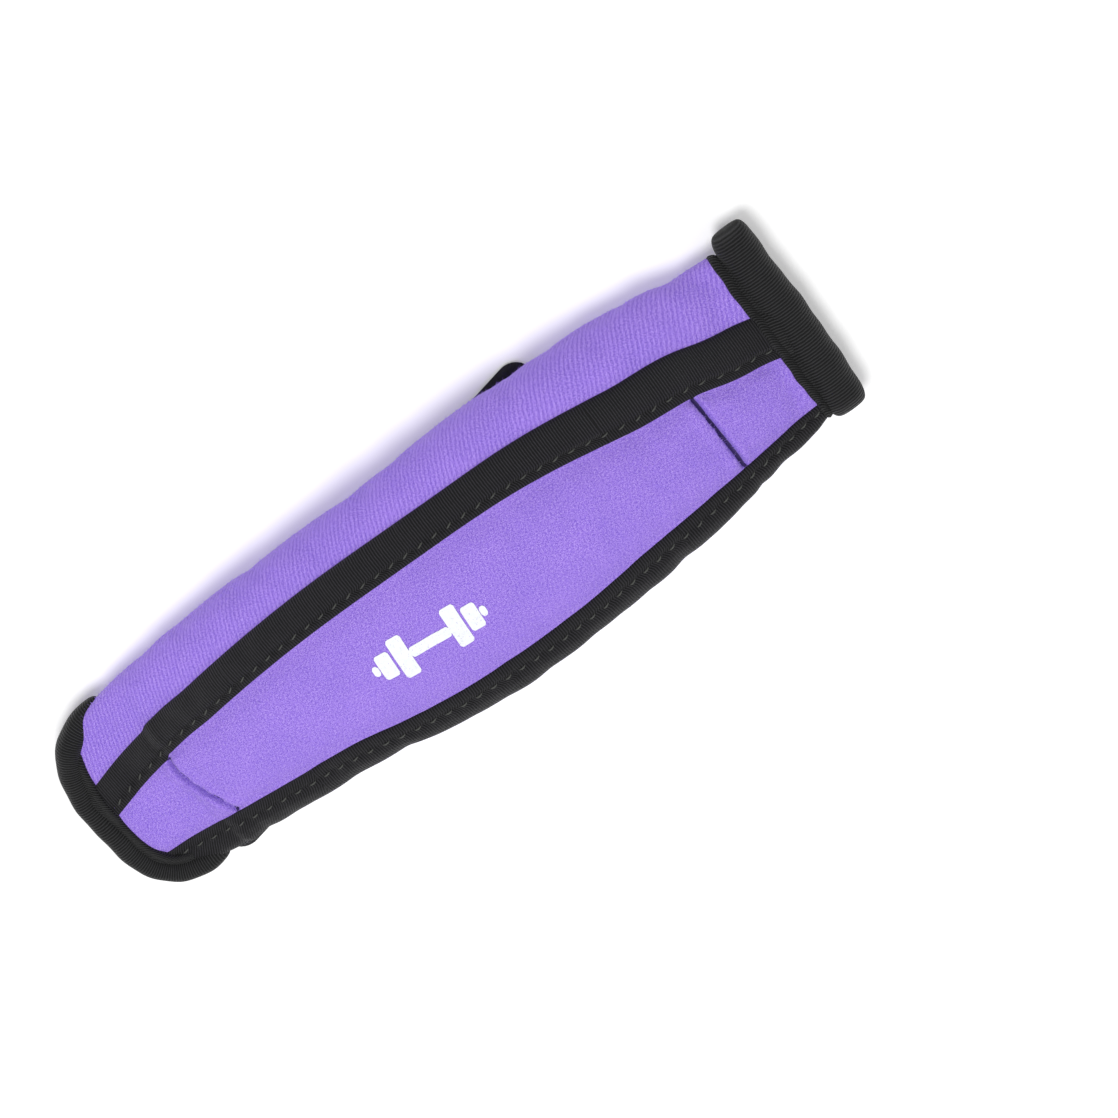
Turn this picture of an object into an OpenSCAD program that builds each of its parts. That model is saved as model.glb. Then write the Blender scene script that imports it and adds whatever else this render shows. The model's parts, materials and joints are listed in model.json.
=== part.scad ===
// Ankle cuff weight: a padded fabric cuff filled with iron sand, bound with knitted
// tape, with a hook-and-loop strap folded flat behind it.
// +X runs along the cuff, +Y across it, +Z out of the front. The cuff lies on its
// strap, and the origin is the middle of that resting face.
// The cuff bends, so its soft pieces are made in five sections: a core, a left and
// a right wing, and a flat tab past each wing. A V is cut behind every bend line.

/* [Cuff] */
// Length over both end bindings
cuff_l = 300; // [260:1:330]
// Width in the middle
cuff_w = 92; // [84:1:100]
// Width at the end bindings
end_w = 72; // [66:1:80]
// Thickness in the middle
cuff_t = 34.2; // [28:0.2:40]
// Thickness of the flat tabs
tab_t = 12; // [10:0.5:16]
// Height of the cuff's back above the resting face
back_z = 3.8; // [3.6:0.1:6]
// Thickness of the padded fabric
wall = 4; // [3:0.5:5]
// Thickness of the inner sack
sack_t = 1; // [0.6:0.1:1.5]

/* [Bending] */
// Distance from the middle to each inner bend line
inner_bend_x = 42; // [36:1:50]
// Place of the right pocket seam, which is the outer right bend line
seam_right_x = 102; // [96:1:110]
// Place of the left pocket seam, which is the outer left bend line
seam_left_x = 108; // [100:1:112]
// Height of the inner bend lines
inner_bend_z = 10; // [9:0.5:12]
// Height of the outer bend lines
outer_bend_z = 8; // [7:0.5:9]
// Turn at each bend line when the cuff is closed round a limb
bend_angle = 70; // [50:1:72]
// Half of the clearance between neighbouring sections
half_gap = 0.25; // [0.15:0.05:0.4]

/* [Bindings] */
// Width of the tape along the front
tape_w = 14; // [10:0.5:16]
// Height of the tape above the fabric
tape_t = 1.4; // [0.8:0.1:2]
// Length of each end binding along the cuff
roll_l = 14.3; // [12:0.1:18]
// Thickness of each end binding
roll_t = 14.4; // [12:0.1:17]
// Length of the rounded part of the left end
left_round_l = 30; // [24:1:36]
// Width of the left end's binding
left_rim_w = 11; // [9:0.5:13]
// Thickness of the left end's binding
left_rim_t = 12.8; // [12.2:0.1:12.8]

/* [Strap] */
// Length of the strap
strap_l = 196; // [180:1:200]
// Width of the strap
strap_w = 50; // [44:1:52]
// Thickness of the strap
strap_t = 2.2; // [1.6:0.1:2.4]
// Skew of the strap behind the cuff
strap_skew = 11.5; // [6:0.5:12]
// Place of the strap's middle along the cuff
strap_mid_x = -29; // [-33:1:-28]
// Place of the line where the loose end peels off the back
peel_x = -76; // [-80:1:-70]
// Length of the hook tape on the loose end
hook_l = 52; // [40:1:54]
// Thickness of the hook tape
hook_t = 1.1; // [0.8:0.1:1.2]

/* [Mark] */
// Length of the printed weight symbol
mark_l = 43; // [30:1:50]
// Height of the printed weight symbol
mark_h = 16; // [10:1:18]

/* [Hidden] */
$fn = 48;

half_l = cuff_l / 2;
// The fabric runs this far under the end bindings.
fabric_end = half_l - 5;
roll_inner = half_l - roll_l;
// The tabs have their full flatness from here outwards.
flat_from = 128;
v_angle = bend_angle / 2 + 1;
// A block larger than the cuff, for cutting.
far = 80;
ring_points = 24;
station_step = 14;
// The cross-section lies between an ellipse and a box.
squareness = 2.5;
sack_end_gap = 2.5;
fold_gap = 1.5;
corner_r = 8;
// The left end's outline lies between an ellipse and a box.
left_squareness = 2.6;
left_round_x = half_l - left_round_l;
// The fabric ends this far inside the left binding's edge.
rim_depth = 4;
stitch_t = 0.6;
stitch_d = 0.4;
print_t = 0.35;

// Sections: name, left bend line, right bend line. The tabs run past the ends.
left_tab = [-far * 2, -seam_left_x];
left_wing = [-seam_left_x, -inner_bend_x];
core = [-inner_bend_x, inner_bend_x];
right_wing = [inner_bend_x, seam_right_x];
right_tab = [seam_right_x, far * 2];

function bend_z(x) = abs(x) > inner_bend_x + 1 ? outer_bend_z : inner_bend_z;

// Half width of the cuff at x
function half_w(x) = cuff_w / 2
    - (cuff_w - end_w) / 2 * pow(x / (x < 0 ? left_round_x : roll_inner), 2);
// Thickness of the cuff at x
function thick(x) = tab_t + (cuff_t - tab_t) * max(0, 1 - pow(abs(x) / flat_from, 2.2));
function signed_pow(v, p) = sign(v) * pow(abs(v), p);
// One ring of the cuff's surface, drawn in by inset
function ring(x, inset) = [
    for (i = [0:ring_points - 1])
        let (t = 360 * i / ring_points, p = 2 / squareness, b = thick(x) / 2)
        [x, (half_w(x) - inset) * signed_pow(cos(t), p),
         back_z + b + (b - inset) * signed_pow(sin(t), p)]];

// The middle line of the upper tape, and the inner edge of the lower tape.
// Both tapes drift towards -Y at the ends, because the tube is sewn with a twist.
function upper_y(x) = 26 - pow(x + 25, 2) * (x < -25 ? 0.0014 : 0.00096);
function ease(u) = let (t = min(1, max(0, u))) t * t * (3 - 2 * t);
function lower_y(x) = -22 - 9 * ease((x + 100) / 110);

// Stations from a to b, about station_step apart
function stations(a, b) = let (n = ceil((b - a) / station_step))
    [for (i = [0:n]) a + (b - a) * i / n];

// Solid skinned over the rings from a to b
module loft(a, b, inset) {
    xs = stations(a, b);
    m = ring_points;
    last = len(xs) - 1;
    pts = [for (x = xs) each ring(x, inset)];
    sides = [for (s = [0:last - 1], i = [0:m - 1]) let (j = (i + 1) % m)
        [s * m + i, (s + 1) * m + i, (s + 1) * m + j, s * m + j]];
    polyhedron(pts, concat([[for (i = [0:m - 1]) i]], sides,
                           [[for (i = [m - 1:-1:0]) last * m + i]]), convexity = 4);
}

// Prism over the area between two lines given by their y at each station
module band(a, b, lo, hi, z0 = 0) {
    xs = stations(a, b);
    n = len(xs) - 1;
    translate([0, 0, z0]) linear_extrude(far)
        polygon(concat([for (i = [0:n]) [xs[i], lo(xs[i])]],
                       [for (i = [n:-1:0]) [xs[i], hi(xs[i])]]));
}

// Everything that belongs to a section, with a V cut behind each of its bend lines
module section_block(s) {
    x0 = s[0] + half_gap;
    x1 = s[1] - half_gap;
    drop = 10;
    z0 = bend_z(s[0]);
    z1 = bend_z(s[1]);
    rotate([90, 0, 0]) linear_extrude(2 * far, center = true) polygon([
        [x0, far], [x0, z0], [x0 + (z0 + drop) * tan(v_angle), -drop],
        [x1 - (z1 + drop) * tan(v_angle), -drop], [x1, z1], [x1, far]]);
}

// Range of x over which a section's soft solids are skinned
function first_x(s) = max(s[0], -fabric_end);
function last_x(s) = min(s[1], fabric_end);
// Height that parts a section's front from its back
function front_z(s) = back_z + (thick(first_x(s)) + thick(last_x(s))) / 4;

// The part of the front that the pocket cover takes up
module cover_area(s) {
    band(first_x(s), last_x(s), function (x) lower_y(x) - tape_w / 2 + 1,
         function (x) upper_y(x), front_z(s));
}

module pocket_space(s) {
    a = max(s[0], -seam_left_x + sack_end_gap);
    b = min(s[1], seam_right_x - sack_end_gap);
    loft(a, b, wall);
}

// Area within the cuff's rounded left end, drawn in by inset
module left_end_area(inset) {
    w = end_w / 2 - inset;
    steps = 10;
    half = [for (i = [0:steps]) let (t = 90 * i / steps, p = 2 / left_squareness)
        [-left_round_x - (left_round_l - inset) * pow(cos(t), p), w * pow(sin(t), p)]];
    linear_extrude(far) polygon(concat(
        half, [[-left_round_x, far], [0, far], [0, -far], [-left_round_x, -far]],
        [for (i = [steps:-1:1]) [half[i][0], -half[i][1]]]));
}

module fabric(s) {
    color("mediumpurple") difference() {
        if (s == left_tab)
            intersection() { loft(first_x(s), last_x(s), 0); left_end_area(rim_depth); }
        else
            loft(first_x(s), last_x(s), 0);
        if (abs(s[0] + s[1]) < 2 * seam_right_x) pocket_space(s);
    }
}

module shell(s) {
    color("mediumpurple") intersection() {
        difference() { fabric(s); cover_area(s); }
        section_block(s);
    }
}

module cover(s) {
    color("mediumpurple") intersection() {
        fabric(s);
        cover_area(s);
        section_block(s);
    }
}

module tape(s, lo, hi) {
    a = max(first_x(s), -roll_inner);
    b = min(last_x(s), roll_inner - 3);
    color([0.13, 0.13, 0.14]) difference() {
        intersection() {
            loft(a, b, -tape_t);
            band(a, b, lo, hi, front_z(s));
            section_block(s);
            if (s == left_tab) left_end_area(left_rim_w);
        }
        loft(first_x(s), last_x(s), 0);
    }
}

module upper_binding(s) {
    tape(s, function (x) upper_y(x) - tape_w / 2, function (x) upper_y(x) + tape_w / 2);
}

module lower_binding(s) {
    tape(s, function (x) lower_y(x) - tape_w + 2, function (x) lower_y(x));
}

module sand(s) {
    color("dimgray") intersection() {
        loft(max(s[0], -seam_left_x + sack_end_gap + sack_t),
             min(s[1], seam_right_x - sack_end_gap - sack_t), wall + sack_t);
        section_block(s);
    }
}

module sack(s) {
    color("gainsboro") difference() {
        intersection() { pocket_space(s); section_block(s); }
        loft(max(s[0], -seam_left_x + sack_end_gap + sack_t),
             min(s[1], seam_right_x - sack_end_gap - sack_t), wall + sack_t);
    }
}

module rounded_rect(w, h, r) {
    square([w - 2 * r, h], center = true);
    square([w, h - 2 * r], center = true);
    for (x = [-1, 1], y = [-1, 1]) translate([x * (w / 2 - r), y * (h / 2 - r)]) circle(r);
}

// Roll of tape over the cut end of the tab, seen along X as a long rounded bar
module end_roll(height) {
    mid_z = back_z + tab_t / 2;
    translate([0, 0, mid_z]) rotate([90, 0, 90]) linear_extrude(4 * far, center = true)
        rounded_rect(end_w, height, height / 2 - 0.1);
}

module end_binding_right() {
    color([0.13, 0.13, 0.14]) difference() {
        intersection() {
            end_roll(roll_t);
            translate([half_l - roll_l / 2 - 1, 0, 0]) linear_extrude(far)
                rounded_rect(roll_l + 2, end_w, 5);
        }
        loft(first_x(right_tab), last_x(right_tab), 0);
    }
}

// The left end is rounded, and its binding follows the curve.
module end_binding_left() {
    color([0.13, 0.13, 0.14]) difference() {
        intersection() {
            end_roll(left_rim_t);
            left_end_area(0);
            translate([-far * 2, -far, 0]) cube([far * 2 - left_round_x, 2 * far, far]);
        }
        left_end_area(left_rim_w);
        fabric(left_tab);
    }
}

// Outline of the whole strap, in place
module strap_outline() {
    translate([strap_mid_x, 0]) rotate(strap_skew)
        rounded_rect(strap_l, strap_w, corner_r);
}

// Slice of the strap outline between two values of x
module strap_slice(x0, x1) {
    intersection() {
        strap_outline();
        translate([x0, -far]) square([x1 - x0, 2 * far]);
    }
}

inner_strap_gap = inner_bend_z * tan(v_angle) + half_gap;
outer_strap_gap = outer_bend_z * tan(v_angle) + half_gap;
strap_color = [0.16, 0.16, 0.17];

// Box of stitches that holds the strap to the right wing
module stitch_box() {
    x0 = inner_bend_x + inner_strap_gap + 2;
    mid_y = (x0 + 4 - strap_mid_x) * tan(strap_skew);
    translate([x0, mid_y]) rotate(strap_skew) {
        difference() {
            translate([0, -18]) square([10, 36]);
            translate([stitch_t, -18 + stitch_t]) square([10 - 2 * stitch_t, 36 - 2 * stitch_t]);
        }
        translate([5 - stitch_t / 2, -18]) square([stitch_t, 36]);
    }
}

module strap_stitching() {
    color("black") linear_extrude(stitch_d) stitch_box();
}

// The sewn end is turned under, so it is thick enough to meet the shell.
module strap_right() {
    x0 = inner_bend_x + inner_strap_gap;
    color(strap_color) difference() {
        union() {
            linear_extrude(strap_t) strap_slice(x0, far);
            intersection() {
                linear_extrude(back_z + 1) strap_slice(x0, far);
                translate([0, -14, 0]) cube([far, 38, far]);
            }
        }
        strap_stitching();
        loft(inner_bend_x, seam_right_x, 0);
    }
}

module strap_core() {
    a = inner_bend_x - inner_strap_gap;
    color(strap_color) linear_extrude(strap_t) strap_slice(-a, a);
}

module strap_left() {
    color(strap_color) linear_extrude(strap_t)
        strap_slice(peel_x + fold_gap, -inner_bend_x - inner_strap_gap);
}

flap_x0 = -seam_left_x + outer_strap_gap;
tip_x1 = -seam_left_x - outer_strap_gap;
module strap_flap() {
    color(strap_color) linear_extrude(strap_t) strap_slice(flap_x0, peel_x - fold_gap);
}

module strap_tip() {
    color(strap_color) linear_extrude(strap_t) strap_slice(-2 * far, tip_x1);
}

// Hook tape on the loose end, cut to the strap's outline with a narrow margin
module hook_tape(x0, x1) {
    margin = 1.5;
    color([0.22, 0.22, 0.24]) translate([0, 0, strap_t]) linear_extrude(hook_t)
        intersection() {
            translate([strap_mid_x, 0]) rotate(strap_skew)
                translate([-strap_l / 2 + margin + hook_l / 2, 0])
                    rounded_rect(hook_l, strap_w - 2 * margin, corner_r - margin);
            translate([x0, -far]) square([x1 - x0, 2 * far]);
        }
}

// Generic dumbbell symbol in place of lettering: a bar with two plates at each end
module weight_symbol() {
    bar_h = mark_h / 4;
    plate = mark_l / 8;
    square([mark_l, bar_h], center = true);
    for (side = [-1, 1]) {
        translate([side * (mark_l / 2 - plate * 2), 0]) square([plate, mark_h], center = true);
        translate([side * (mark_l / 2 - plate * 0.8), 0])
            square([plate, mark_h * 0.62], center = true);
    }
}

module weight_mark() {
    color("white") intersection() {
        difference() {
            loft(core[0], core[1], -print_t);
            loft(core[0], core[1], 0);
        }
        translate([-14, -6.5, back_z + tab_t]) rotate(-6) linear_extrude(far) weight_symbol();
        section_block(core);
    }
}

shell(left_tab);  // shell_left_tab
shell(left_wing);  // shell_left
shell(core);  // shell_core
shell(right_wing);  // shell_right
shell(right_tab);  // shell_right_tab
cover(left_tab);  // cover_left_tab
cover(left_wing);  // cover_left
cover(core);  // cover_core
cover(right_wing);  // cover_right
cover(right_tab);  // cover_right_tab
upper_binding(left_tab);  // upper_binding_left_tab
upper_binding(left_wing);  // upper_binding_left
upper_binding(core);  // upper_binding_core
upper_binding(right_wing);  // upper_binding_right
upper_binding(right_tab);  // upper_binding_right_tab
lower_binding(left_tab);  // lower_binding_left_tab
lower_binding(left_wing);  // lower_binding_left
lower_binding(core);  // lower_binding_core
lower_binding(right_wing);  // lower_binding_right
lower_binding(right_tab);  // lower_binding_right_tab
sack(left_wing);  // sack_left
sack(core);  // sack_core
sack(right_wing);  // sack_right
sand(left_wing);  // sand_left
sand(core);  // sand_core
sand(right_wing);  // sand_right
end_binding_left();
end_binding_right();
strap_right();
strap_core();
strap_left();
strap_flap();
strap_tip();
hook_tape(flap_x0, peel_x - fold_gap);  // hook_tape_flap
hook_tape(-2 * far, tip_x1);  // hook_tape_tip
strap_stitching();
weight_mark();
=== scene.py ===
"""Ankle cuff weight: the looks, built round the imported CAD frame.

The cuff's skin is one grid. Its rows are stations along X, and its columns run round the tube
from the +Y side, over the front, down the -Y side and back underneath. Everything sewn or
printed on the cuff is placed on that grid. Lengths are in millimetres until a mesh is made.
"""

import json
import math

import bpy
import numpy as np
from mathutils import Matrix, Vector


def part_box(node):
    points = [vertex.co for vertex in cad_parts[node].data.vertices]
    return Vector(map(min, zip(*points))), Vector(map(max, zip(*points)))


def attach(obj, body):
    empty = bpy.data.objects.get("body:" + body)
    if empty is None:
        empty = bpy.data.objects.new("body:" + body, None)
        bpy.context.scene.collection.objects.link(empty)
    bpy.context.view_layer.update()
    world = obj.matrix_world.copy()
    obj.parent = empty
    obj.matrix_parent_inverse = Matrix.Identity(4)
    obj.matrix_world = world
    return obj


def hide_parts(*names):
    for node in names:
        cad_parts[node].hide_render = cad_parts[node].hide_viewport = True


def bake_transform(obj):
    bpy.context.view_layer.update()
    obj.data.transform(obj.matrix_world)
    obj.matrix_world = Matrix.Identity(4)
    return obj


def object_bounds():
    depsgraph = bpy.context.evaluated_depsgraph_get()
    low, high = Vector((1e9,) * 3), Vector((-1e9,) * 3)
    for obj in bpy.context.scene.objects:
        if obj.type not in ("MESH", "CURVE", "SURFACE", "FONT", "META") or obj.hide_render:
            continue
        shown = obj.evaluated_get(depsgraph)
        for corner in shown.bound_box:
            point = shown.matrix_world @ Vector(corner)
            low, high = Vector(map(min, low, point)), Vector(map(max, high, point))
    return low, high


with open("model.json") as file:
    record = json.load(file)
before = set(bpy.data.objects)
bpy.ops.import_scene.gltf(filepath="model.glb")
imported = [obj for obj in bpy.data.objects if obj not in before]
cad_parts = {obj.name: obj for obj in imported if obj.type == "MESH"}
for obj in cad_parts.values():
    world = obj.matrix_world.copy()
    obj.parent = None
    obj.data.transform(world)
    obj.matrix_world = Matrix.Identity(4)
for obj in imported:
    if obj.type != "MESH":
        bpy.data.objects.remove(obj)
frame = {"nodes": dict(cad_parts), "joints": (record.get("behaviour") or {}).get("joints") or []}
CAD_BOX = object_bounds()
MM = 0.001
rng = np.random.default_rng(11)


# ---------------------------------------------------------------- sizes, from the frame
def box_mm(node):
    lo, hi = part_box(node)
    return np.array(lo) / MM, np.array(hi) / MM


JOINT_AT = {j["name"]: np.array(j["pos_m"]) / MM for j in frame["joints"]}
HALF_L = CAD_BOX[1].x / MM
HALF_W = CAD_BOX[1].y / MM
END_W = box_mm("end_binding_right")[1][1]
BACK_Z = box_mm("shell_core")[0][2]
FRONT_Z = box_mm("cover_core")[1][2]
TAB_TOP_Z = box_mm("end_binding_right")[0][2] + box_mm("end_binding_right")[1][2] - BACK_Z
TAB_T = TAB_TOP_Z - BACK_Z
CUFF_T = FRONT_Z - BACK_Z
ROLL_X = box_mm("end_binding_right")[0][0] + 2
LEFT_ROUND_X = box_mm("end_binding_left")[1][0]
LEFT_ROUND_L = HALF_L + LEFT_ROUND_X
SEAM_LEFT = JOINT_AT["curl_left_tab"][0]
SEAM_RIGHT = JOINT_AT["curl_right_tab"][0]
PEEL_X = JOINT_AT["strap_peel"][0]

LEFT_RIM_W = 11.0
RIM_DEPTH = 4.0
STITCH_PITCH = 5.8
SKIN_STEP = 1.0

# Where continuous pieces are cut, and where each part bends: x range, bodies, blend start, end
CUT_LEFT = -76.0
CUT_RIGHT = 72.0
BENDS = {
    "left_end": (-HALF_L - 5, CUT_LEFT, "left_wing", "left_tab", -84.0, -122.0),
    "left": (CUT_LEFT, 0.0, "core", "left_wing", -14.0, -70.0),
    "right": (0.0, CUT_RIGHT, "core", "right_wing", 14.0, 70.0),
    "right_end": (CUT_RIGHT, HALF_L + 5, "right_wing", "right_tab", 76.0, 128.0),
}
SECTION_NODES = {
    "left_end": ("left_tab",),
    "left": ("left",),
    "right": ("core",),
    "right_end": ("right", "right_tab"),
}


# ---------------------------------------------------------------- the cuff's form
def ease(u):
    u = np.clip(u, 0, 1)
    return u * u * (3 - 2 * u)


def bump(u):
    """A bell, 1 at 0 and nearly 0 at 2."""
    return np.exp(-(u**2))


def unit(v):
    return v / np.linalg.norm(v, axis=-1, keepdims=True)


def oval(wave, n):
    """Coordinate of a superellipse of power n, from the sine or cosine of its angle."""
    return np.sign(wave) * np.abs(wave) ** (2 / n)


def distance_along(points):
    return np.concatenate([[0], np.cumsum(np.linalg.norm(np.diff(points, axis=0), axis=1))])


def half_width(x, side=0):
    """Half width of the fabric, to the +Y side, to the -Y side, or the mean of the two."""
    x = np.asarray(x, float)
    if side == 0:
        return (half_width(x, 1) + half_width(x, -1)) / 2
    end = np.where(x < 0, LEFT_ROUND_X, ROLL_X)
    w = HALF_W - (HALF_W - END_W) * (x / end) ** 2 - 0.7 * bump((x + 38) / 22)
    if side > 0:
        w = w + 1.4 * bump((x + 96) / 24) - 2.3 * bump((x + 2) / 40) - 3.2 * ease((x - 100) / 30)
    else:
        w = w - 1.4 - 5.8 * bump((x + 66) / 38)
    # the left end rounds off; its rim covers the last few millimetres
    t = np.clip((LEFT_ROUND_X - x) / (LEFT_ROUND_L - RIM_DEPTH), 0, 1)
    cap = (END_W + 0.5) * (1 - t**2.6) ** (1 / 2.6) - (1.0 if side > 0 else RIM_DEPTH) * ease(t / 0.35)
    return np.where(x < LEFT_ROUND_X, np.minimum(w, np.maximum(cap, 2.0)), w)


def thickness(x):
    h = 1 - (np.abs(x) / 126) ** 2.2
    h = 0.5 * (h + np.sqrt(h * h + 0.012))
    return TAB_T + (CUFF_T - TAB_T) * np.minimum(h, 1.0)


def tape_width(x):
    """Width of the upper tape, which is looser towards the right end."""
    return 13.5 + 4.2 * ease((x - 10) / 90)


def upper_y(x):
    """Middle line of the upper tape."""
    y = 24.7 - (x + 25) ** 2 * np.where(x < -25, 0.0014, 0.00096) + 2.2 * bump((x - 48) / 36)
    y = y + 0.9 * ease((x - 112) / 14)
    y = y + 1.3 * ease((x - SEAM_RIGHT + 22) / 22) - 2.3 * ease((x - SEAM_RIGHT) / 22)
    return y + 1.0 * ease((x - SEAM_LEFT + 6) / 3) - 0.6 * ease((x + 104) / 14)


def lower_y(x):
    """Inner edge of the lower tape."""
    y = -22 - 9 * ease((x + 100) / 110) + 1.6 * bump((x + 56) / 16)
    return y + 2.1 * ease((x - 20) / 50)


def left_seam_x(y):
    """The left pocket seam runs a little askew and curves in towards the lower tape."""
    return SEAM_LEFT - 5.0 + 7.5 * ease((4.0 - y) / 30.0)


def right_seam_x(_y):
    """The right pocket seam runs straight across."""
    return SEAM_RIGHT


RING_T = np.radians(np.linspace(0, 360, 721))


def section(x):
    """Outline of the cuff at x as points (y, z), round from the +Y side over the front."""
    plus, minus, b = half_width(x, 1), half_width(x, -1), thickness(x) / 2
    fullness = np.clip((thickness(x) - TAB_T) / (CUFF_T - TAB_T), 0, 1)
    c, s = np.cos(RING_T), np.sin(RING_T)
    n = np.where(s >= 0, 2.9 - 0.6 * fullness, 3.0)
    y = np.where(c > 0, plus, minus) * oval(c, n)
    z = BACK_Z + b + b * oval(s, n)
    return y, z


# Columns: each part of the tube between two sewn lines has its own count.
PARTS = [
    ("shoulder", 30),
    ("upper_tape", 14),
    ("cover", 48),
    ("lower_tape", 12),
    ("under_side", 44),
    ("under", 44),
]


def column_values(counts):
    """q runs from 0 to 6 round the tube, one unit for each of PARTS."""
    return np.concatenate([k + np.arange(n) / n for k, n in enumerate(counts)])


def station_values(step):
    """Stations, closer together where the left end rounds off."""
    body = np.arange(LEFT_ROUND_X + 1, HALF_L - 5 + 0.01, step)
    cap = LEFT_ROUND_X + 1 - (LEFT_ROUND_L - RIM_DEPTH + 1) * np.sin(
        np.radians(np.linspace(86, 2, max(8, int(30 / step))))
    )
    if step <= SKIN_STEP:
        near_left = np.arange(SEAM_LEFT - 8, SEAM_LEFT + 6, 0.5)
        near_right = np.arange(SEAM_RIGHT - 4, SEAM_RIGHT + 4, 0.5)
        body = np.concatenate([body, near_left, near_right])
    return np.unique(np.round(np.concatenate([cap, body, [CUT_LEFT, 0.0, CUT_RIGHT]]), 3))


def base_grid(xs, qs):
    """Points of the plain form, one for each station and column."""
    grid = np.zeros((len(xs), len(qs), 3))
    for i, x in enumerate(xs):
        y, z = section(x)
        run = np.concatenate([[0], np.cumsum(np.hypot(np.diff(y), np.diff(z)))])
        top_y, top_run = y[:361][::-1], run[:361][::-1]

        def at(yy):
            return np.interp(np.clip(yy, y.min() * 0.985, y.max() * 0.985), top_y, top_run)

        edges = [
            0,
            at(upper_y(x) + tape_width(x) / 2),
            at(upper_y(x) - tape_width(x) / 2),
            at(lower_y(x)),
            max(run[360] + 1.0, at(lower_y(x)) + 8.0),
            run[540],
            run[-1],
        ]
        edges = np.maximum.accumulate(edges)
        r = np.interp(qs, np.arange(7), edges)
        grid[i] = np.stack([np.full(len(qs), x), np.interp(r, run, y), np.interp(r, run, z)], 1)
    return grid


def normals(p):
    """Outward normals of a grid that closes round its columns."""
    du = np.gradient(p, axis=0)
    dv = np.roll(p, -1, 1) - np.roll(p, 1, 1)
    n = np.cross(dv, du)
    return n / np.maximum(np.linalg.norm(n, axis=2, keepdims=True), 1e-9)


def smooth_columns(field, rounds):
    for _ in range(rounds):
        field = (np.roll(field, 1, 1) + 2 * field + np.roll(field, -1, 1)) / 4
        inner = (field[:-2] + 2 * field[1:-1] + field[2:]) / 4
        field = np.concatenate([field[:1], inner, field[-1:]])
    return field


# ---------------------------------------------------------------- cloth
SEWN_Q = (1, 2, 3, 4)


def puff(xs, qs, grid):
    """Cloth simulation: the fabric is held at its sewn lines and blown out by the filling."""
    n, m = grid.shape[:2]
    verts = (grid.reshape(-1, 3) * MM).tolist()
    faces = [
        (i * m + j, i * m + (j + 1) % m, (i + 1) * m + (j + 1) % m, (i + 1) * m + j)
        for i in range(n - 1)
        for j in range(m)
    ]
    mesh = bpy.data.meshes.new("puff")
    mesh.from_pydata(verts, [], faces)
    obj = bpy.data.objects.new("puff", mesh)
    bpy.context.scene.collection.objects.link(obj)
    q = np.tile(qs, n)
    x = np.repeat(xs, m)
    y = grid[:, :, 1].ravel()
    sewn = np.zeros(n * m)
    for line in SEWN_Q:
        sewn = np.maximum(sewn, np.abs(q - line) < 0.5 / 8)
    on_cover = (q > 1.9) & (q < 3.1)
    for seam in (left_seam_x, right_seam_x):
        sewn = np.maximum(sewn, on_cover & (np.abs(x - seam(y)) < 1.6))
    sewn = np.maximum(sewn, (x < xs[1] + 0.1) | (x > xs[-2] - 0.1))
    resting = (q > 4.55) & (q < 5.55)
    sewn = np.maximum(sewn, resting)
    group = obj.vertex_groups.new(name="sewn")
    for k in np.nonzero(sewn)[0]:
        group.add([int(k)], 1.0, "REPLACE")
    cloth = obj.modifiers.new("cloth", "CLOTH")
    s = cloth.settings
    s.quality = 6
    s.mass = 0.01
    s.tension_stiffness = s.compression_stiffness = 12
    s.shear_stiffness = 8
    s.bending_stiffness = 0.02
    s.vertex_group_mass = "sewn"
    s.use_pressure = True
    s.uniform_pressure_force = 400
    s.effector_weights.gravity = 0
    s.shrink_min = -0.03
    cloth.collision_settings.use_collision = False
    scene = bpy.context.scene
    scene.frame_start, scene.frame_end = 1, 20
    for f in range(1, 21):
        scene.frame_set(f)
    done = obj.evaluated_get(bpy.context.evaluated_depsgraph_get())
    out = np.array([v.co for v in done.data.vertices]).reshape(n, m, 3) / MM
    scene.frame_set(1)
    bpy.data.objects.remove(obj)
    bpy.data.meshes.remove(mesh)
    return out - grid


def to_fine(field, xs, qs, fine_x, fine_q):
    """Spreads a coarse field over the fine grid, in straight lines between its points."""
    q_wrap = np.concatenate([qs, [6.0]])
    wrapped = np.concatenate([field, field[:, :1]], 1)
    out = np.zeros((len(fine_x), len(fine_q), 3))
    for k in range(3):
        rows = np.array([np.interp(fine_q, q_wrap, row) for row in wrapped[:, :, k]])
        out[:, :, k] = np.array([np.interp(fine_x, xs, col) for col in rows.T]).T
    return out


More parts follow.
